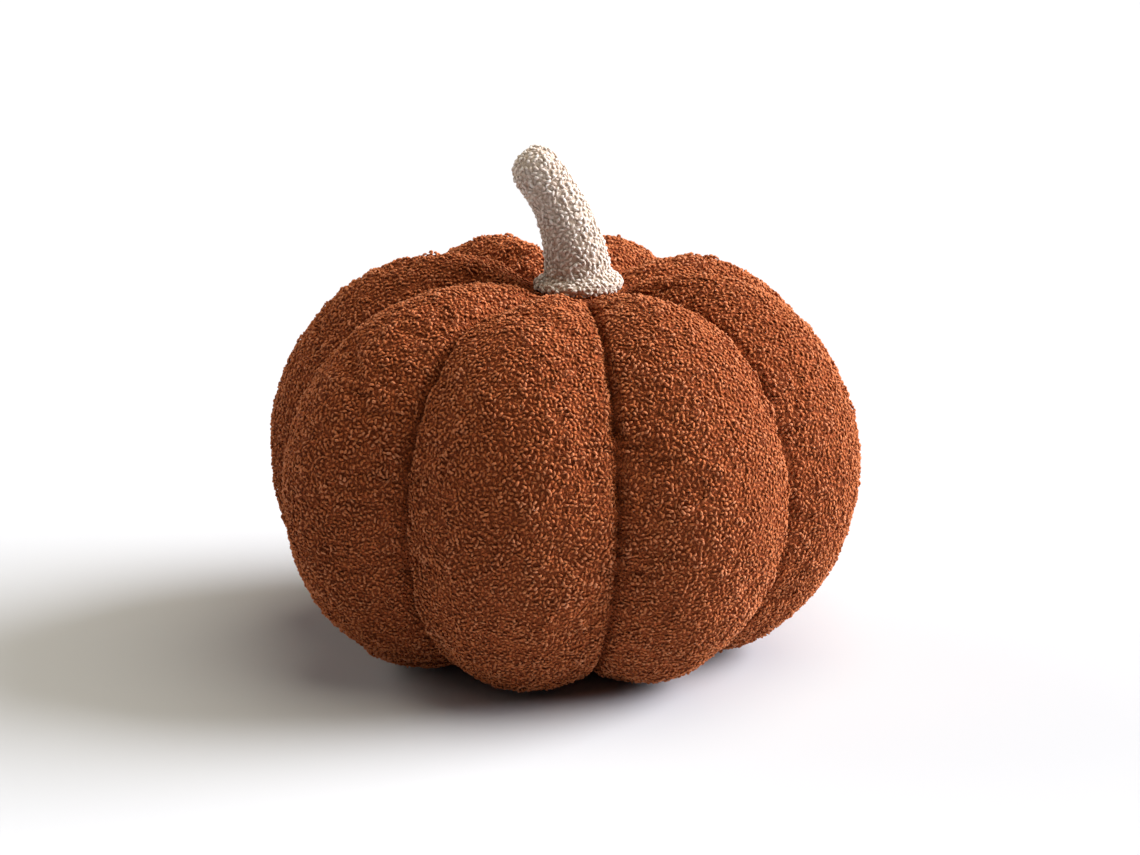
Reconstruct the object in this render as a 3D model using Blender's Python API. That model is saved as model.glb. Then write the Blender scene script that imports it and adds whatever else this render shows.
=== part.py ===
"""Pumpkin cushion: a stuffed body of eight sewn lobes, and a stuffed stem that leans to the left.

Metres, +Z up. The origin is under the middle of the whole part, on the surface it rests on.
Azimuths are in degrees from the front (-Y), positive towards the right (+X).
"""

import math

import bmesh
import bpy
from mathutils import Vector

# Body: overall size
BODY_RADIUS = 0.175
BODY_HEIGHT = 0.225
WAIST_HEIGHT = 0.116

# Body: the dish that the stem stands in, a little right of the middle
DISH_SHIFT = 0.008
DISH_DEPTH = 0.012
DISH_FLOOR_RADIUS = 0.0300
SHOULDER_RADIUS = 0.077
DISH_FULLNESS = 2.6

# Body: the underside, pressed flat where it rests, a little left of the middle
FOOT_SHIFT = -0.0045
FOOT_SHIFT_EASE = 1.3
FOOT_RADIUS = 0.080
FLAT_RADIUS = 0.050

# Body: the sewn channels between the lobes
SEAM_RADIUS_RATIO = 0.897
SEAM_HEIGHT_RATIO = 0.939
SEAM_FOOT_RATIO = 0.90
SEAM_FOOT_LIFT = 0.0085

# Body: how full the curves are; 2 is a round arc, more is squarer
UPPER_FULLNESS = 1.90
LOWER_FULLNESS = 2.15
ACROSS_FULLNESS = 2.10

# The eight lobes in turn, from the front left one to the right: the azimuth of the channel
# on its left, then its reach and height against the body's
LOBES = (
    (-35.5, 0.992, 0.985),
    (10.7, 0.976, 0.988),
    (53.2, 0.992, 1.008),
    (98.8, 1.010, 0.996),
    (143.9, 1.003, 1.012),
    (189.2, 1.002, 1.024),
    (234.3, 1.026, 1.026),
    (281.9, 1.042, 0.996),
)

COLUMNS_PER_LOBE = 10
DISH_ROWS = 6
UPPER_ROWS = 18
LOWER_ROWS = 18
UNDERSIDE_ROWS = 6

# Stem: foot on the dish's floor, then the axis as a Bezier curve in the X-Z plane
STEM_FOOT_X = 0.006
STEM_TIP_LEAN = 0.0325
STEM_TIP_HEIGHT = 0.079
STEM_LOWER_HANDLE = (0.0, 0.030)
STEM_UPPER_HANDLE = (-0.011, 0.056)
STEM_FOOT_RADIUS = 0.0195
STEM_NECK_RADIUS = 0.0150
STEM_TIP_RADIUS = 0.0140
STEM_TAPER_SHARE = 0.70
STEM_DOME_SHARE = 0.14
STEM_TIP_FULLNESS = 2.4

# Stem: the turned-out hem at its foot, as shares of the axis and its edge's rounding
HEM_RADIUS = 0.0260
HEM_SHARE = 0.115
HEM_LIP_SHARE = 0.040
HEM_EDGE_SHARE = 0.035
HEM_EDGE_ROUNDING = 0.003

STEM_COLUMNS = 24
DOME_ROWS = 8
SHAFT_ROWS = 16
HEM_ROWS = 12
HEM_CROWDING = 1.2

TOUCH_GAP = 0.0003
SHARP_ANGLE = 40.0
PILE_ROUGHNESS = 0.95
BODY_COLOUR = (0.35, 0.13, 0.06)
STEM_COLOUR = (0.56, 0.47, 0.41)


def clear_scene():
    for item in list(bpy.data.objects):
        bpy.data.objects.remove(item, do_unlink=True)


def pile_material(name, colour):
    material = bpy.data.materials.new(name)
    material.use_nodes = True
    shader = material.node_tree.nodes["Principled BSDF"]
    shader.inputs["Base Color"].default_value = (*colour, 1.0)
    shader.inputs["Roughness"].default_value = PILE_ROUGHNESS
    shader.inputs["Metallic"].default_value = 0.0
    return material


def mix(low, high, share):
    return low + (high - low) * share


def arc(share, fullness):
    """A quarter of a superellipse: how far out and how far up after this share of it."""
    turn = share * math.pi / 2
    out = math.sin(turn) ** (2 / fullness)
    up = max(math.cos(turn), 0.0) ** (2 / fullness)
    return out, up


def lengthwise_stations():
    """The rows between the two poles, each as (section, share of that section)."""
    stations = []
    for row in range(DISH_ROWS):
        stations.append(("dish", row / DISH_ROWS))
    for row in range(UPPER_ROWS):
        stations.append(("upper", row / UPPER_ROWS))
    for row in range(LOWER_ROWS):
        stations.append(("lower", row / LOWER_ROWS))
    for row in range(UNDERSIDE_ROWS):
        stations.append(("underside", row / (UNDERSIDE_ROWS - 1)))
    return stations


def line_point(station, reach, top, foot_radius, foot_height):
    """Distance from the axis and height of one station on a lengthwise line of the body."""
    section, share = station
    floor = BODY_HEIGHT - DISH_DEPTH
    if section == "dish":
        out = mix(DISH_FLOOR_RADIUS, SHOULDER_RADIUS, share)
        up = top - (top - floor) * (1 - share) ** DISH_FULLNESS
    elif section == "upper":
        swell, rise = arc(share, UPPER_FULLNESS)
        out = mix(SHOULDER_RADIUS, reach, swell)
        up = mix(WAIST_HEIGHT, top, rise)
    elif section == "lower":
        drop, swell = arc(share, LOWER_FULLNESS)
        out = mix(foot_radius, reach, swell)
        up = mix(WAIST_HEIGHT, foot_height, drop)
    else:
        out = mix(foot_radius, FLAT_RADIUS, share)
        up = mix(foot_height, 0.0, share)
    return out, up


def lean(out, up):
    """How far to the right the slightly leaning body lies at this place."""
    if up > WAIST_HEIGHT:
        return DISH_SHIFT * max(1.0 - out / BODY_RADIUS, 0.0) ** 2
    return FOOT_SHIFT * (1.0 - up / WAIST_HEIGHT) ** FOOT_SHIFT_EASE


def body_point(station, column):
    """The body's surface at a station, on one of the lengthwise lines counted from the first channel."""
    lobe = column // COLUMNS_PER_LOBE
    share = (column % COLUMNS_PER_LOBE) / COLUMNS_PER_LOBE
    left, reach, height = LOBES[lobe]
    right = LOBES[(lobe + 1) % len(LOBES)][0]
    if right < left:
        right += 360.0
    azimuth = math.radians(mix(left, right, share))
    crest = line_point(station, BODY_RADIUS * reach, BODY_HEIGHT * height, FOOT_RADIUS, 0.0)
    channel = line_point(
        station,
        BODY_RADIUS * SEAM_RADIUS_RATIO,
        BODY_HEIGHT * SEAM_HEIGHT_RATIO,
        FOOT_RADIUS * SEAM_FOOT_RATIO,
        SEAM_FOOT_LIFT,
    )
    swell = 1.0 - abs(2.0 * share - 1.0) ** ACROSS_FULLNESS
    out = mix(channel[0], crest[0], swell)
    up = mix(channel[1], crest[1], swell)
    return Vector((out * math.sin(azimuth) + lean(out, up), -out * math.cos(azimuth), up))


def make_body():
    stations = lengthwise_stations()
    columns = COLUMNS_PER_LOBE * len(LOBES)
    rows = len(stations) + 1
    shape = bmesh.new()
    bmesh.ops.create_uvsphere(shape, u_segments=columns, v_segments=rows, radius=1.0)
    for vert in shape.verts:
        row = round(math.acos(max(-1.0, min(1.0, vert.co.z))) / math.pi * rows)
        column = round(math.atan2(vert.co.x, -vert.co.y) / math.tau * columns) % columns
        if row == 0:
            vert.co = Vector((DISH_SHIFT, 0.0, BODY_HEIGHT - DISH_DEPTH))
        elif row == rows:
            vert.co = Vector((FOOT_SHIFT, 0.0, 0.0))
        else:
            vert.co = body_point(stations[row - 1], column)
    bmesh.ops.recalc_face_normals(shape, faces=shape.faces)
    return shape


def stem_axis(share):
    """A point on the stem's axis and the axis's direction there, in the stem's own X-Z plane."""
    start = Vector((0.0, 0.0))
    lower = Vector(STEM_LOWER_HANDLE)
    upper = Vector(STEM_UPPER_HANDLE)
    tip = Vector((-STEM_TIP_LEAN, STEM_TIP_HEIGHT))
    rest = 1.0 - share
    point = rest**3 * start + 3 * rest**2 * share * lower + 3 * rest * share**2 * upper + share**3 * tip
    pull = 3 * rest**2 * (lower - start) + 6 * rest * share * (upper - lower) + 3 * share**2 * (tip - upper)
    return point, pull.normalized()


def stem_radius(share):
    """The stem's radius along its axis: hem, tapering shaft and rounded tip."""
    ease = min(share / STEM_TAPER_SHARE, 1.0)
    ease = ease * ease * (3.0 - 2.0 * ease)
    radius = mix(STEM_FOOT_RADIUS, STEM_NECK_RADIUS, ease)
    if share > STEM_TAPER_SHARE:
        radius = mix(radius, STEM_TIP_RADIUS, (share - STEM_TAPER_SHARE) / (1.0 - STEM_TAPER_SHARE))
    if share < HEM_SHARE:
        climb = max(share - HEM_LIP_SHARE, 0.0) / (HEM_SHARE - HEM_LIP_SHARE)
        radius += (HEM_RADIUS - STEM_FOOT_RADIUS) * (1.0 - climb * climb * (3.0 - 2.0 * climb))
    if share < HEM_EDGE_SHARE:
        inset = 1.0 - share / HEM_EDGE_SHARE
        radius -= HEM_EDGE_ROUNDING * (1.0 - math.sqrt(1.0 - inset * inset))
    if share > 1.0 - STEM_DOME_SHARE:
        into = (share - 1.0 + STEM_DOME_SHARE) / STEM_DOME_SHARE
        radius *= (1.0 - into**STEM_TIP_FULLNESS) ** (1.0 / STEM_TIP_FULLNESS)
    return radius


def stem_stations():
    """Shares of the axis where the stem has a ring, from the tip down to the foot."""
    stations = []
    for row in range(1, DOME_ROWS + 1):
        turn = row / DOME_ROWS * math.pi / 2
        stations.append(1.0 - STEM_DOME_SHARE * (1.0 - math.cos(turn)))
    for row in range(1, SHAFT_ROWS + 1):
        stations.append(mix(1.0 - STEM_DOME_SHARE, HEM_SHARE, row / SHAFT_ROWS))
    for row in range(1, HEM_ROWS + 1):
        stations.append(HEM_SHARE * (1.0 - row / HEM_ROWS) ** HEM_CROWDING)
    return stations


def make_stem():
    stations = stem_stations()
    rows = len(stations) + 1
    foot = Vector((STEM_FOOT_X, 0.0, BODY_HEIGHT - DISH_DEPTH + TOUCH_GAP))
    shape = bmesh.new()
    bmesh.ops.create_uvsphere(shape, u_segments=STEM_COLUMNS, v_segments=rows, radius=1.0)
    for vert in shape.verts:
        row = round(math.acos(max(-1.0, min(1.0, vert.co.z))) / math.pi * rows)
        turn = math.atan2(vert.co.y, vert.co.x)
        if row == 0:
            share, radius = 1.0, 0.0
        elif row == rows:
            share, radius = 0.0, 0.0
        else:
            share = stations[row - 1]
            radius = stem_radius(share)
        point, along = stem_axis(share)
        side = Vector((along.y, 0.0, -along.x))
        ring = side * (radius * math.cos(turn)) + Vector((0.0, radius * math.sin(turn), 0.0))
        vert.co = foot + Vector((point.x, 0.0, point.y)) + ring
    bmesh.ops.recalc_face_normals(shape, faces=shape.faces)
    return shape


def add_piece(name, shape, material):
    mesh = bpy.data.meshes.new(name)
    shape.to_mesh(mesh)
    shape.free()
    mesh.materials.append(material)
    mesh.shade_smooth()
    mesh.set_sharp_from_angle(angle=math.radians(SHARP_ANGLE))
    piece = bpy.data.objects.new(name, mesh)
    bpy.context.scene.collection.objects.link(piece)
    return piece


def centre_over_origin(shapes):
    """Slide all pieces level, so that the middle of the whole part's box is over the origin."""
    places = [vert.co for shape in shapes for vert in shape.verts]
    middle_x = (min(place.x for place in places) + max(place.x for place in places)) / 2
    middle_y = (min(place.y for place in places) + max(place.y for place in places)) / 2
    for shape in shapes:
        bmesh.ops.translate(shape, verts=shape.verts, vec=(-middle_x, -middle_y, 0.0))


clear_scene()
body_shape = make_body()
stem_shape = make_stem()
centre_over_origin((body_shape, stem_shape))
add_piece("body", body_shape, pile_material("body_pile", BODY_COLOUR))
add_piece("stem", stem_shape, pile_material("stem_pile", STEM_COLOUR))
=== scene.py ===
# Pumpkin cushion in rust-orange curly pile cloth, with a leaning stem in pale grey-beige pile.
# Metres, +Z up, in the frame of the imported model.
import math

import bmesh
import bpy
import numpy as np
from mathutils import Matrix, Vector
from mathutils.kdtree import KDTree


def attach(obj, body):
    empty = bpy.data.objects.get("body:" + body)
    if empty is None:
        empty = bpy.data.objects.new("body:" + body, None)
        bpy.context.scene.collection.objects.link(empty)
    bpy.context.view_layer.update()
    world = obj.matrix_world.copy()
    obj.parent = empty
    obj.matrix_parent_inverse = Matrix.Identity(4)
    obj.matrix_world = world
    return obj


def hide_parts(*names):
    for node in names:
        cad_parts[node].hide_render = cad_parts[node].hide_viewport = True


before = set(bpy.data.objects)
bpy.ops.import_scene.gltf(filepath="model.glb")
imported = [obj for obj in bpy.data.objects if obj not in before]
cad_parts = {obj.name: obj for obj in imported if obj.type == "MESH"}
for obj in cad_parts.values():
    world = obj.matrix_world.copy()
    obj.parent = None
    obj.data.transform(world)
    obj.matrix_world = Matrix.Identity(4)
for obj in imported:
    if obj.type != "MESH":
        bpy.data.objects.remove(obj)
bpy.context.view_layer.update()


# The camera looks a little down on the cushion's front through a long lens. Its place comes
# from the slant of the channels and the outline, and its aim from where the cushion sits.
CAMERA_PLACE = (0.0046, -1.738, 0.622)
CAMERA_DIP = 15.86
CAMERA_LENS = 96.8
SENSOR_WIDTH = 36.0

bpy.ops.object.select_all(action="DESELECT")
bpy.ops.object.camera_add(
    location=CAMERA_PLACE, rotation=(math.radians(90.0 - CAMERA_DIP), 0.0, 0.0)
)
camera = bpy.context.object
camera.data.sensor_width = SENSOR_WIDTH
camera.data.lens = CAMERA_LENS
bpy.context.scene.camera = camera


# The body is eight gores of pile cloth, sewn edge to edge and stuffed. The cloth itself is the
# solid's own surface, let in a little, and filled out by a short simulation that holds it
# along its sewn channels, under the stem's hem and where it stands.
EDGE_INSET = 0.0010
CREST_INSET = 0.0048
CHANNEL_FOLD = -0.25
CHANNEL_EASE = 0.016
CHANNEL_DRAW = 0.0058
TUG_SIZES = (0.008, 0.022)
RIPPLE_WAVES = 40
TUG_SHARE = 0.5
TUG_SEED = 41
UPPER_HALF_HEIGHT = 0.11
TAUT_TOP_RADIUS = 0.034
TAUT_TOP_REACH = 0.045
TAUT_FOOT_HEIGHT = 0.001
TAUT_FOOT_REACH = 0.022
HELD_TOP_RADIUS = 0.030
HELD_FOOT_HEIGHT = 0.0035
STUFFING_PRESSURE = 4.0
CLOTH_GROWTH = -0.035
SWELL_LIMIT = 0.005
TAUT_SWELL_SHARE = 0.2
SIM_FRAMES = 20
HEM_MIDDLE_X = 0.009
PUCKERS_ABOVE = 0.15
# Puckers round the stem: azimuth from the front, distance from the hem's middle, how far the
# crease turns from pointing at the stem, then its length, width and depth.
PUCKERS = (
    (58.0, 0.052, 35.0, 0.010, 0.0030, 0.0036),
    (40.0, 0.046, -20.0, 0.008, 0.0028, 0.0030),
    (83.0, 0.058, 20.0, 0.011, 0.0032, 0.0032),
    (-28.0, 0.050, 15.0, 0.009, 0.0030, 0.0022),
    (126.0, 0.050, -25.0, 0.010, 0.0030, 0.0028),
    (172.0, 0.054, 18.0, 0.010, 0.0030, 0.0026),
    (-98.0, 0.052, -15.0, 0.010, 0.0030, 0.0024),
    (-140.0, 0.049, 22.0, 0.009, 0.0030, 0.0028),
)


def places_of(piece):
    found = np.empty(len(piece.data.vertices) * 3)
    piece.data.vertices.foreach_get("co", found)
    return found.reshape(-1, 3)


def normals_of(piece):
    found = np.empty(len(piece.data.vertices) * 3)
    piece.data.vertex_normals.foreach_get("vector", found)
    return found.reshape(-1, 3)


def move_to(piece, places):
    piece.data.vertices.foreach_set("co", places.reshape(-1))
    piece.data.update()


def cloth_from_node(name):
    """A clean copy of a node's surface, with its triangles paired and then cut finer."""
    mesh = bpy.data.objects[name].data.copy()
    shape = bmesh.new()
    shape.from_mesh(mesh)
    bmesh.ops.remove_doubles(shape, verts=shape.verts, dist=0.00002)
    bmesh.ops.join_triangles(
        shape, faces=shape.faces, angle_face_threshold=0.6, angle_shape_threshold=1.2
    )
    bmesh.ops.subdivide_edges(shape, edges=shape.edges, cuts=1, use_grid_fill=True)
    shape.to_mesh(mesh)
    shape.free()
    mesh.materials.clear()
    mesh.shade_smooth()
    piece = bpy.data.objects.new(name + "_cloth", mesh)
    bpy.context.scene.collection.objects.link(piece)
    return piece


def folded_verts(piece):
    """The vertices on the cloth's concave folds, which are its sewn channels."""
    shape = bmesh.new()
    shape.from_mesh(piece.data)
    shape.normal_update()
    found = set()
    for edge in shape.edges:
        if len(edge.link_faces) == 2 and edge.calc_face_angle_signed() < CHANNEL_FOLD:
            found.update(vert.index for vert in edge.verts)
    shape.free()
    return sorted(found)


def distance_to(points, places):
    tree = KDTree(len(points))
    for index, point in enumerate(points):
        tree.insert(point, index)
    tree.balance()
    return np.array([tree.find(place)[2] for place in places])


def smooth_step(share):
    share = np.clip(share, 0.0, 1.0)
    return share * share * (3.0 - 2.0 * share)


def unit(vectors):
    return vectors / np.linalg.norm(vectors, axis=-1, keepdims=True)


def ripple(places, sizes, seed):
    """A smooth random field over the places, about -1 to 1, with swells of the given sizes,
    and the slope of that field."""
    rng = np.random.default_rng(seed)
    field = np.zeros(len(places))
    slope = np.zeros((len(places), 3))
    for _ in range(RIPPLE_WAVES):
        heading = unit(rng.normal(size=3))
        pace = math.tau / rng.uniform(*sizes)
        phase = places @ heading * pace + rng.uniform(0.0, math.tau)
        field += np.cos(phase)
        slope -= np.sin(phase)[:, None] * heading * pace
    return field / math.sqrt(RIPPLE_WAVES), slope / math.sqrt(RIPPLE_WAVES)


def fill_out(piece, limits):
    """Swell the cloth by simulation, and let no point move further than its limit."""
    before = places_of(piece)
    cloth = piece.modifiers.new("stuffing", "CLOTH")
    cloth.settings.quality = 6
    cloth.settings.mass = 0.3
    cloth.settings.tension_stiffness = 15.0
    cloth.settings.compression_stiffness = 15.0
    cloth.settings.shear_stiffness = 5.0
    cloth.settings.bending_stiffness = 0.5
    cloth.settings.vertex_group_mass = "sewn"
    cloth.settings.use_pressure = True
    cloth.settings.uniform_pressure_force = STUFFING_PRESSURE
    cloth.settings.shrink_min = CLOTH_GROWTH
    cloth.settings.effector_weights.gravity = 0.0
    for step in range(1, SIM_FRAMES + 1):
        bpy.context.scene.frame_set(step)
    bpy.ops.object.select_all(action="DESELECT")
    bpy.context.view_layer.objects.active = piece
    piece.select_set(True)
    bpy.ops.object.modifier_apply(modifier="stuffing")
    bpy.context.scene.frame_set(1)
    moved = places_of(piece) - before
    reach = np.linalg.norm(moved, axis=1)
    eased = limits * np.tanh(reach / limits) / np.maximum(reach, 1e-9)
    move_to(piece, before + moved * eased[:, None])


def pucker(piece, creases, middle_x):
    """Press short creases into the cloth round the stem."""
    places = places_of(piece)
    depth = np.zeros(len(places))
    for azimuth, out, turn, length, width, most in creases:
        way = math.radians(azimuth)
        middle = np.array((middle_x + out * math.sin(way), -out * math.cos(way)))
        way += math.radians(turn)
        along = np.array((math.sin(way), -math.cos(way)))
        apart = places[:, :2] - middle
        run = apart @ along / length
        across = (apart[:, 0] * along[1] - apart[:, 1] * along[0]) / width
        depth += most * np.exp(-(run**2) - across**2) * (places[:, 2] > PUCKERS_ABOVE)
    move_to(piece, places - normals_of(piece) * depth[:, None])


body_cloth = cloth_from_node("body")
body_places = places_of(body_cloth)
from_axis = np.hypot(body_places[:, 0], body_places[:, 1])
upper = body_places[:, 2] > UPPER_HALF_HEIGHT
slack = smooth_step(np.where(
    upper,
    (from_axis - TAUT_TOP_RADIUS) / TAUT_TOP_REACH,
    (body_places[:, 2] - TAUT_FOOT_HEIGHT) / TAUT_FOOT_REACH,
))
channel = folded_verts(body_cloth)
from_channel = distance_to(body_places[channel], body_places)
inset = EDGE_INSET + (CREST_INSET - EDGE_INSET) * slack * smooth_step(from_channel / CHANNEL_EASE)
tug = 1.0 + TUG_SHARE * ripple(body_places[channel], TUG_SIZES, TUG_SEED)[0]
inset[channel] += CHANNEL_DRAW * slack[channel] * tug
move_to(body_cloth, body_places - normals_of(body_cloth) * inset[:, None])
held = (body_places[:, 2] < HELD_FOOT_HEIGHT) | (upper & (from_axis < HELD_TOP_RADIUS))
held[channel] = True
body_cloth.vertex_groups.new(name="sewn").add(np.nonzero(held)[0].tolist(), 1.0, "REPLACE")
fill_out(body_cloth, SWELL_LIMIT * (TAUT_SWELL_SHARE + (1.0 - TAUT_SWELL_SHARE) * slack))
pucker(body_cloth, PUCKERS, HEM_MIDDLE_X)
channel_points = places_of(body_cloth)[channel]


def colour_steps(tree, stops):
    ramp = tree.nodes.new("ShaderNodeValToRGB")
    while len(ramp.color_ramp.elements) < len(stops):
        ramp.color_ramp.elements.new(0.5)
    for element, (place, colour) in zip(ramp.color_ramp.elements, stops):
        element.position = place
        element.color = (*colour, 1.0)
    return ramp


def ground_cloth_material(name, painted_gap_shade, light, lump_size):
    """Pile seen between the curls: small warped lumps, with painted shade in the gaps between them.
    """
    material = bpy.data.materials.new(name)
    material.use_nodes = True
    tree = material.node_tree
    shader = tree.nodes["Principled BSDF"]
    shader.inputs["Roughness"].default_value = 0.95
    shader.inputs["Specular IOR Level"].default_value = 0.1
    place = tree.nodes.new("ShaderNodeTexCoord")
    warp = tree.nodes.new("ShaderNodeTexNoise")
    warp.inputs["Scale"].default_value = 0.7 / lump_size
    warp.inputs["Detail"].default_value = 2.0
    push = tree.nodes.new("ShaderNodeVectorMath")
    push.operation = "MULTIPLY_ADD"
    push.inputs[1].default_value = (1.6 * lump_size, 1.6 * lump_size, 1.6 * lump_size)
    lumps = tree.nodes.new("ShaderNodeTexVoronoi")
    lumps.feature = "DISTANCE_TO_EDGE"
    lumps.inputs["Scale"].default_value = 1.0 / lump_size
    ramp = colour_steps(tree, ((0.0, painted_gap_shade), (0.35, light)))
    bump = tree.nodes.new("ShaderNodeBump")
    bump.inputs["Strength"].default_value = 0.9
    bump.inputs["Distance"].default_value = 0.0010
    tree.links.new(place.outputs["Object"], warp.inputs["Vector"])
    tree.links.new(warp.outputs["Color"], push.inputs[0])
    tree.links.new(place.outputs["Object"], push.inputs[2])
    tree.links.new(push.outputs["Vector"], lumps.inputs["Vector"])
    tree.links.new(lumps.outputs["Distance"], ramp.inputs["Fac"])
    tree.links.new(ramp.outputs["Color"], shader.inputs["Base Color"])
    tree.links.new(lumps.outputs["Distance"], bump.inputs["Height"])
    tree.links.new(bump.outputs["Normal"], shader.inputs["Normal"])
    return material


# Painted shade: the colour laid in the gaps between the body cloth's lumps.
RUST_PAINTED_GAP_SHADE = (0.12, 0.025, 0.007)
RUST_GROUND = (0.42, 0.100, 0.032)
BODY_LUMP = 0.0022
body_cloth.data.materials.append(
    ground_cloth_material("rust_ground", RUST_PAINTED_GAP_SHADE, RUST_GROUND, BODY_LUMP)
)
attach(body_cloth, "root")
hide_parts("body")


# The body's pile is short curls of yarn that lie every way on the cloth. They stand in
# rounded clumps with sharp gaps between, and lie small in the sewn channels. Painted shade
# sets the curls in the channels and in the clumps' cracks darker. Each of the eight gores is one
# piece.
GORES = 8
FIRST_CHANNEL = -35.5
BODY_CURL_SPACING = 0.00203
BODY_SCATTER_SEED = 11
FIRST_CURL_SEED = 100
TONE_SEED = 5
BODY_CURLS = {
    "length": (0.0021, 0.0038),
    "width": (0.0014, 0.0020),
    "rise": (0.0003, 0.0010),
    "bend": 0.0006,
    "sink": 0.0002,
    "spine": (-1.0, -0.6, 0.0, 0.6, 1.0),
    "sides": 3,
}
CHANNEL_REACH = 0.005
CHANNEL_SHADE = 0.0012
CHANNEL_CURL_SIZE = 0.55
CLUMP_SIZES = (0.010, 0.017)
CLUMP_SEED = 31
CLUMP_RISE = 0.0010
CLUMP_SINK = 0.3
CLUMP_SHADE = 0.5
FOOT_CLUMP_SHARE = 0.6
FULL_CLUMP_HEIGHT = 0.12
STANDING_HEIGHT = 0.0004
LOWEST_PILE = 0.0002
TUFT_TONE_SIZES = (0.005, 0.009)
TUFT_TONE = 0.10
WEAR_TONE_SIZES = (0.02, 0.06)
WEAR_TONE = 0.07
WEAR_SEED = 32
CURL_TONE = 0.11
CHANNEL_PAINTED_SHADE = 0.6
RUST_TONES = ((0.0, (0.47, 0.136, 0.042)), (0.5, (0.60, 0.202, 0.084)), (1.0, (0.72, 0.310, 0.165)))
# Painted shade: the rust curls are darkened towards the cloth, and their colour deepened there.
RUST_PAINTED_ROOT_SHADE_AND_TINT = ((0.0, (0.52, 0.30, 0.09)), (0.4, (0.88, 0.72, 0.50)), (0.8, (1.0, 1.0, 1.0)))
RUST_SHEEN = 0.10
RUST_SHEEN_TINT = (1.0, 0.76, 0.60)


def scatter(surface, spacing, seed):
    """Evenly spaced places on a surface, and the way the surface faces at each."""
    tree = bpy.data.node_groups.new("scatter", "GeometryNodeTree")
    tree.interface.new_socket("Surface", in_out="INPUT", socket_type="NodeSocketGeometry")
    tree.interface.new_socket("Places", in_out="OUTPUT", socket_type="NodeSocketGeometry")
    start = tree.nodes.new("NodeGroupInput")
    end = tree.nodes.new("NodeGroupOutput")
    spread = tree.nodes.new("GeometryNodeDistributePointsOnFaces")
    spread.distribute_method = "POISSON"
    spread.inputs["Distance Min"].default_value = spacing
    spread.inputs["Density Max"].default_value = 4.0 / spacing**2
    spread.inputs["Seed"].default_value = seed
    facing = tree.nodes.new("GeometryNodeStoreNamedAttribute")
    facing.data_type = "FLOAT_VECTOR"
    facing.domain = "POINT"
    facing.inputs["Name"].default_value = "facing"
    verts = tree.nodes.new("GeometryNodePointsToVertices")
    tree.links.new(start.outputs["Surface"], spread.inputs["Mesh"])
    tree.links.new(spread.outputs["Points"], facing.inputs["Geometry"])
    tree.links.new(spread.outputs["Normal"], facing.inputs["Value"])
    tree.links.new(facing.outputs["Geometry"], verts.inputs["Points"])
    tree.links.new(verts.outputs["Mesh"], end.inputs["Places"])
    spots = bpy.data.objects.new("spots", surface.data.copy())
    bpy.context.scene.collection.objects.link(spots)
    modifier = spots.modifiers.new("scatter", "NODES")
    modifier.node_group = tree
    solved = spots.evaluated_get(bpy.context.evaluated_depsgraph_get()).data
    places = np.empty(len(solved.vertices) * 3)
    solved.vertices.foreach_get("co", places)
    facing = np.empty(len(solved.vertices) * 3)
    solved.attributes["facing"].data.foreach_get("vector", facing)
    bpy.data.objects.remove(spots)
    bpy.data.node_groups.remove(tree)
    return places.reshape(-1, 3), facing.reshape(-1, 3)


def curl_corners(places, facing, kind, size, rng):
    """The corners of one bent and arched curl at each place, from end to end."""
    count = len(places)
    size = size[:, None, None]
    heading = rng.normal(size=(count, 3))
    along = unit(heading - (heading * facing).sum(1, keepdims=True) * facing)[:, None, :]
    up = facing[:, None, :]
    across = np.cross(up, along)
    length = rng.uniform(*kind["length"], (count, 1, 1))
    width = rng.uniform(*kind["width"], (count, 1, 1)) * size
    rise = rng.uniform(*kind["rise"], (count, 1, 1)) * size
    bend = rng.normal(0.0, kind["bend"], (count, 1, 1))
    roll = rng.uniform(0.0, math.tau, (count, 1, 1))
    step = np.array(kind["spine"])[None, :, None]
    arch = 1.0 - step**2
    spine = (
        places[:, None, :]
        + along * step * length / 2
        + across * bend * (arch - 0.5)
        + up * (rise * arch - kind["sink"])
    )
    run = unit(np.gradient(spine, axis=1))
    side = unit(np.cross(run, up))
    over = np.cross(side, run)
    thickness = width / 2 * np.sqrt(np.clip(1.0 - np.abs(step) ** 3, 0.0, 1.0))
    rings = []
    for corner in range(kind["sides"]):
        turn = roll + corner * math.tau / kind["sides"]
        rings.append(spine + thickness * (np.cos(turn) * side + np.sin(turn) * over))
    rings = np.stack(rings, axis=2)
    middle = rings[:, 1:-1].reshape(count, -1, 3)
    return np.concatenate((spine[:, :1], middle, spine[:, -1:]), axis=1)


def curl_faces(kind):
    """The faces of one curl: a fan at each end, and bands of four-cornered faces between."""
    sides = kind["sides"]
    rings = len(kind["spine"]) - 2
    last = 1 + rings * sides
    fans = []
    bands = []
    for corner in range(sides):
        after = (corner + 1) % sides
        fans.append((0, 1 + corner, 1 + after))
        fans.append((last, last - sides + after, last - sides + corner))
        for ring in range(rings - 1):
            near = 1 + ring * sides
            far = near + sides
            bands.append((near + corner, far + corner, far + after, near + after))
    return fans, bands


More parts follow.
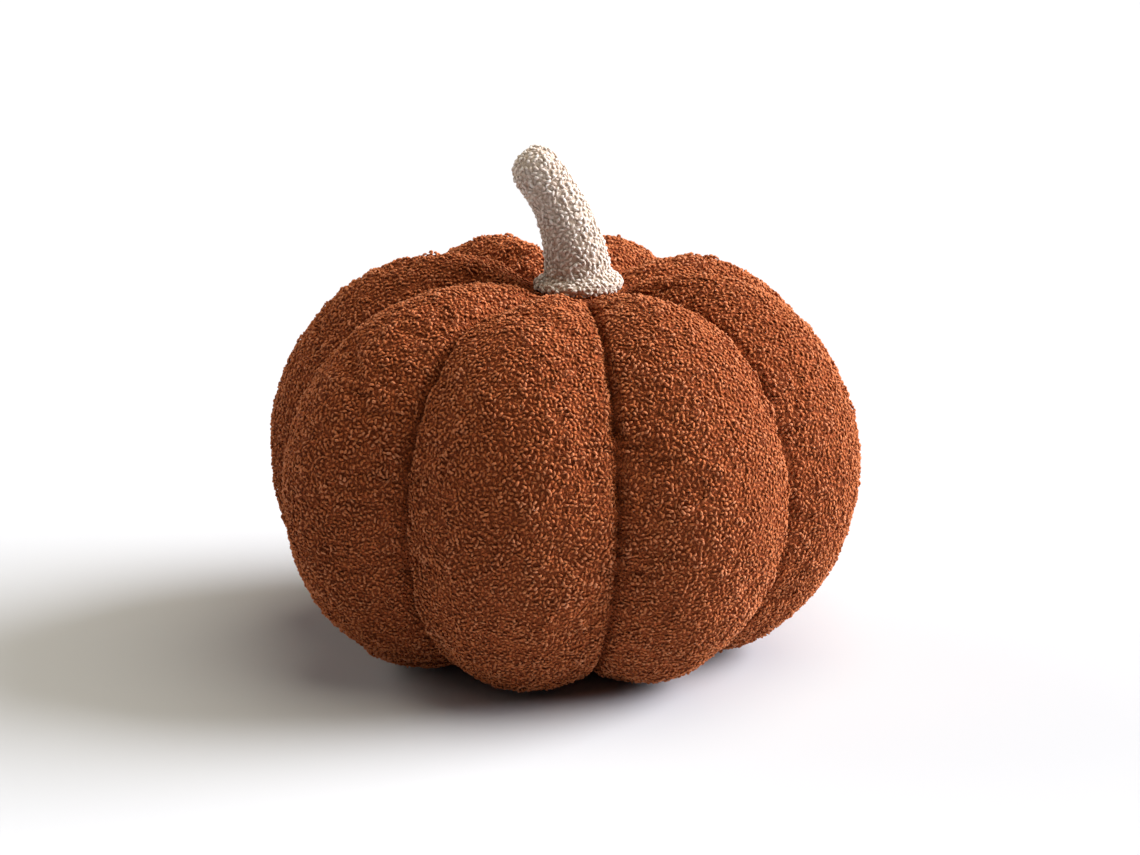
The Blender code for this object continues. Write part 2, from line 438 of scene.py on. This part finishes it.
def curl_piece(name, places, facing, kind, tone, size, lift, seed):
    """One mesh of curls, with a map of each curl's tone across and its height up. The height
    counts from the curl's place, plus its lift, which moves nothing and only shifts the painted
    shade that the material lays on low parts of the map."""
    rng = np.random.default_rng(seed)
    facing = unit(facing)
    corners = curl_corners(places, facing, kind, size, rng)
    fans, bands = curl_faces(kind)
    count, each = corners.shape[:2]
    starts = np.arange(count)[:, None, None] * each
    parts = [(np.array(faces)[None] + starts).reshape(count, -1) for faces in (fans, bands)]
    loops = np.concatenate(parts, axis=1).ravel()
    face_sizes = np.tile([3] * len(fans) + [4] * len(bands), count)
    mesh = bpy.data.meshes.new(name)
    mesh.vertices.add(count * each)
    corners[..., 2] = np.maximum(corners[..., 2], LOWEST_PILE)
    mesh.vertices.foreach_set("co", corners.reshape(-1))
    mesh.loops.add(len(loops))
    mesh.loops.foreach_set("vertex_index", loops)
    mesh.polygons.add(len(face_sizes))
    mesh.polygons.foreach_set("loop_start", np.cumsum(face_sizes) - face_sizes)
    mesh.update(calc_edges=True)
    height = ((corners - places[:, None, :]) * facing[:, None, :]).sum(2) + lift[:, None]
    top = kind["rise"][1] + kind["width"][1] / 2 + lift.mean()
    height = np.clip(height / top, 0.01, 0.99)
    nudge = np.linspace(-0.012, 0.012, each)[None, :]
    shade = np.clip(tone[:, None] * 0.94 + 0.03 + nudge, 0.005, 0.995)
    uv = np.stack((shade.reshape(-1)[loops], height.reshape(-1)[loops]), axis=1)
    mesh.uv_layers.new(name="OFBake").uv.foreach_set("vector", uv.reshape(-1))
    mesh.shade_smooth()
    piece = bpy.data.objects.new(name, mesh)
    bpy.context.scene.collection.objects.link(piece)
    return piece


def pile_material(name, tones, painted_root_shade_and_tint, sheen, sheen_tint):
    """Yarn curls: each has its own tone, from its map's left to right, painted shade and a
    deeper tint towards the root ends, from the map's bottom up, and a faint mottle and
    roughness from its twisted plies."""
    material = bpy.data.materials.new(name)
    material.use_nodes = True
    tree = material.node_tree
    shader = tree.nodes["Principled BSDF"]
    shader.inputs["Roughness"].default_value = 0.85
    shader.inputs["Specular IOR Level"].default_value = 0.15
    shader.inputs["Sheen Weight"].default_value = sheen
    shader.inputs["Sheen Roughness"].default_value = 0.5
    shader.inputs["Sheen Tint"].default_value = (*sheen_tint, 1.0)
    map_node = tree.nodes.new("ShaderNodeUVMap")
    map_node.uv_map = "OFBake"
    parts = tree.nodes.new("ShaderNodeSeparateXYZ")
    ramp = colour_steps(tree, tones)
    root_shade_and_tint_ramp = colour_steps(tree, painted_root_shade_and_tint)
    mix = tree.nodes.new("ShaderNodeMix")
    mix.data_type = "RGBA"
    mix.blend_type = "MULTIPLY"
    mix.inputs["Factor"].default_value = 1.0
    spread = tree.nodes.new("ShaderNodeMapping")
    spread.inputs["Scale"].default_value = (260.0, 5.0, 1.0)
    twist = tree.nodes.new("ShaderNodeTexNoise")
    twist.inputs["Scale"].default_value = 1.0
    twist.inputs["Detail"].default_value = 3.0
    plies = colour_steps(tree, ((0.3, (0.80, 0.78, 0.76)), (0.7, (1.0, 1.0, 1.0))))
    ply_mix = tree.nodes.new("ShaderNodeMix")
    ply_mix.data_type = "RGBA"
    ply_mix.blend_type = "MULTIPLY"
    ply_mix.inputs["Factor"].default_value = 1.0
    bump = tree.nodes.new("ShaderNodeBump")
    bump.inputs["Strength"].default_value = 0.35
    bump.inputs["Distance"].default_value = 0.0002
    tree.links.new(map_node.outputs["UV"], parts.inputs["Vector"])
    tree.links.new(parts.outputs["X"], ramp.inputs["Fac"])
    tree.links.new(parts.outputs["Y"], root_shade_and_tint_ramp.inputs["Fac"])
    tree.links.new(ramp.outputs["Color"], mix.inputs["A"])
    tree.links.new(root_shade_and_tint_ramp.outputs["Color"], mix.inputs["B"])
    tree.links.new(map_node.outputs["UV"], spread.inputs["Vector"])
    tree.links.new(spread.outputs["Vector"], twist.inputs["Vector"])
    tree.links.new(twist.outputs["Fac"], plies.inputs["Fac"])
    tree.links.new(mix.outputs["Result"], ply_mix.inputs["A"])
    tree.links.new(plies.outputs["Color"], ply_mix.inputs["B"])
    tree.links.new(ply_mix.outputs["Result"], shader.inputs["Base Color"])
    tree.links.new(twist.outputs["Fac"], bump.inputs["Height"])
    tree.links.new(bump.outputs["Normal"], shader.inputs["Normal"])
    return material


rust_pile = pile_material("rust_pile", RUST_TONES, RUST_PAINTED_ROOT_SHADE_AND_TINT, RUST_SHEEN, RUST_SHEEN_TINT)
places, facing = scatter(body_cloth, BODY_CURL_SPACING, BODY_SCATTER_SEED)
standing = places[:, 2] > STANDING_HEIGHT
places = places[standing]
facing = facing[standing]
open_to_light = np.clip(distance_to(channel_points, places) / CHANNEL_REACH, 0.0, 1.0)
swell, slope = ripple(places, CLUMP_SIZES, CLUMP_SEED)
above_foot = smooth_step(places[:, 2] / FULL_CLUMP_HEIGHT)
clump = CLUMP_RISE * open_to_light * (FOOT_CLUMP_SHARE + (1.0 - FOOT_CLUMP_SHARE) * above_foot)
lift = clump * (np.abs(swell) - CLUMP_SINK)
facing = unit(facing)
slope = slope * (np.sign(swell) * clump)[:, None]
slope -= (slope * facing).sum(1, keepdims=True) * facing
places = places + facing * lift[:, None]
facing = unit(facing - slope)
azimuth = np.degrees(np.arctan2(places[:, 0], -places[:, 1])) - FIRST_CHANNEL
gore_of = (azimuth % 360.0 / (360.0 / GORES)).astype(int)
tone_rng = np.random.default_rng(TONE_SEED)
for gore in range(GORES):
    mine = gore_of == gore
    in_channel = 1.0 - open_to_light[mine]
    size = 1.0 - (1.0 - CHANNEL_CURL_SIZE) * in_channel
    tone = 0.5 + TUFT_TONE * ripple(places[mine], TUFT_TONE_SIZES, CLUMP_SEED)[0]
    tone += WEAR_TONE * ripple(places[mine], WEAR_TONE_SIZES, WEAR_SEED)[0]
    # Painted shade: curls in the sewn channels get a lower tone.
    tone += tone_rng.normal(0.0, CURL_TONE, mine.sum()) - CHANNEL_PAINTED_SHADE * in_channel
    tone = np.clip(tone, 0.0, 1.0)
    # Painted shade: the map's height is lowered in the clumps' cracks and the sewn channels, which
    # darkens those curls.
    pile = curl_piece(
        f"body_pile_{gore + 1}", places[mine], facing[mine], BODY_CURLS, tone, size,
        CLUMP_SHADE * lift[mine] - CHANNEL_SHADE * in_channel, FIRST_CURL_SEED + gore,
    )
    pile.data.materials.append(rust_pile)
    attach(pile, "root")


# The stem is a stuffed tube of pale pile cloth, with a closed rounded end, and its hem is
# turned out where it is sewn down in the middle of the body's dish.
STEM_INSET = 0.0009
HEM_EDGE = 0.002
STEM_CURL_SPACING = 0.0022
STEM_SCATTER_SEED = 12
STEM_CURL_SEED = 200
STEM_TONE = 0.22
STEM_CURLS = {
    "length": (0.0024, 0.0040),
    "width": (0.0015, 0.0023),
    "rise": (0.0002, 0.0012),
    "bend": 0.0006,
    "sink": 0.0002,
    "spine": (-1.0, -0.7, -0.25, 0.25, 0.7, 1.0),
    "sides": 4,
}
# Painted shade: the colour laid in the gaps between the stem cloth's lumps.
STEM_PAINTED_GAP_SHADE = (0.50, 0.38, 0.29)
STEM_GROUND = (0.80, 0.70, 0.62)
STEM_LUMP = 0.0026
PALE_TONES = ((0.0, (0.88, 0.79, 0.72)), (0.5, (0.96, 0.91, 0.86)), (1.0, (0.99, 0.98, 0.96)))
# Painted shade: the pale curls are darkened towards the cloth, and their colour browned there.
PALE_PAINTED_ROOT_SHADE_AND_TINT = ((0.0, (0.60, 0.48, 0.39)), (0.45, (0.92, 0.86, 0.81)), (0.75, (1.0, 1.0, 1.0)))
PALE_SHEEN = 0.6
PALE_SHEEN_TINT = (1.0, 0.96, 0.92)
stem_cloth = cloth_from_node("stem")
stem_places = places_of(stem_cloth)
stem_inset = normals_of(stem_cloth) * STEM_INSET
stem_inset[stem_places[:, 2] < stem_places[:, 2].min() + HEM_EDGE, 2] = 0.0
move_to(stem_cloth, stem_places - stem_inset)
stem_cloth.data.materials.append(
    ground_cloth_material("stem_ground", STEM_PAINTED_GAP_SHADE, STEM_GROUND, STEM_LUMP)
)
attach(stem_cloth, "root")
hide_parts("stem")

pale_pile = pile_material("pale_pile", PALE_TONES, PALE_PAINTED_ROOT_SHADE_AND_TINT, PALE_SHEEN, PALE_SHEEN_TINT)
stem_places, stem_facing = scatter(stem_cloth, STEM_CURL_SPACING, STEM_SCATTER_SEED)
curl_count = len(stem_places)
stem_tone = np.clip(tone_rng.normal(0.5, STEM_TONE, curl_count), 0.0, 1.0)
stem_pile = curl_piece(
    "stem_pile", stem_places, stem_facing, STEM_CURLS, stem_tone, np.ones(curl_count),
    np.zeros(curl_count), STEM_CURL_SEED,
)
stem_pile.data.materials.append(pale_pile)
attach(stem_pile, "root")


# The floor is a plain pale sheet, and the light is one strong soft lamp on the right, with a
# weaker one overhead, a low one behind on the left and a little from a pale surround.
FLOOR_SIZE = 30.0
FLOOR_DROP = 0.0004
FLOOR_COLOUR = (0.64, 0.65, 0.68)
SURROUND_STRENGTH = 0.04

bpy.ops.object.select_all(action="DESELECT")
bpy.ops.mesh.primitive_plane_add(size=FLOOR_SIZE, location=(0.0, 0.0, -FLOOR_DROP))
floor = bpy.context.object
floor.name = "floor"
floor_material = bpy.data.materials.new("pale_floor")
floor_material.use_nodes = True
floor_shader = floor_material.node_tree.nodes["Principled BSDF"]
floor_shader.inputs["Base Color"].default_value = (*FLOOR_COLOUR, 1.0)
floor_shader.inputs["Roughness"].default_value = 0.9
floor.data.materials.append(floor_material)

surround = bpy.data.worlds.new("surround")
surround.use_nodes = True
surround.node_tree.nodes["Background"].inputs["Color"].default_value = (1.0, 1.0, 1.0, 1.0)
surround.node_tree.nodes["Background"].inputs["Strength"].default_value = SURROUND_STRENGTH
bpy.context.scene.world = surround


def soft_sun(name, azimuth, height, strength, spread, colour):
    """A far lamp that is seen at an azimuth from the right, anticlockwise, and at a height."""
    bpy.ops.object.light_add(type="SUN")
    lamp = bpy.context.object
    lamp.name = name
    lamp.data.energy = strength
    lamp.data.color = colour
    lamp.data.angle = math.radians(spread)
    turn = math.radians(azimuth)
    lift = math.radians(height)
    toward = Vector((
        math.cos(turn) * math.cos(lift), math.sin(turn) * math.cos(lift), math.sin(lift)
    ))
    lamp.rotation_euler = toward.to_track_quat("Z", "Y").to_euler()


soft_sun("side_lamp", 10.0, 26.0, 7.1, 40.0, (0.92, 0.94, 1.0))
soft_sun("top_lamp", 0.0, 70.0, 1.8, 60.0, (1.0, 0.93, 0.76))
soft_sun("rim_lamp", 150.0, 18.0, 1.3, 50.0, (1.0, 0.95, 0.86))
bpy.context.scene.view_settings.view_transform = "Standard"
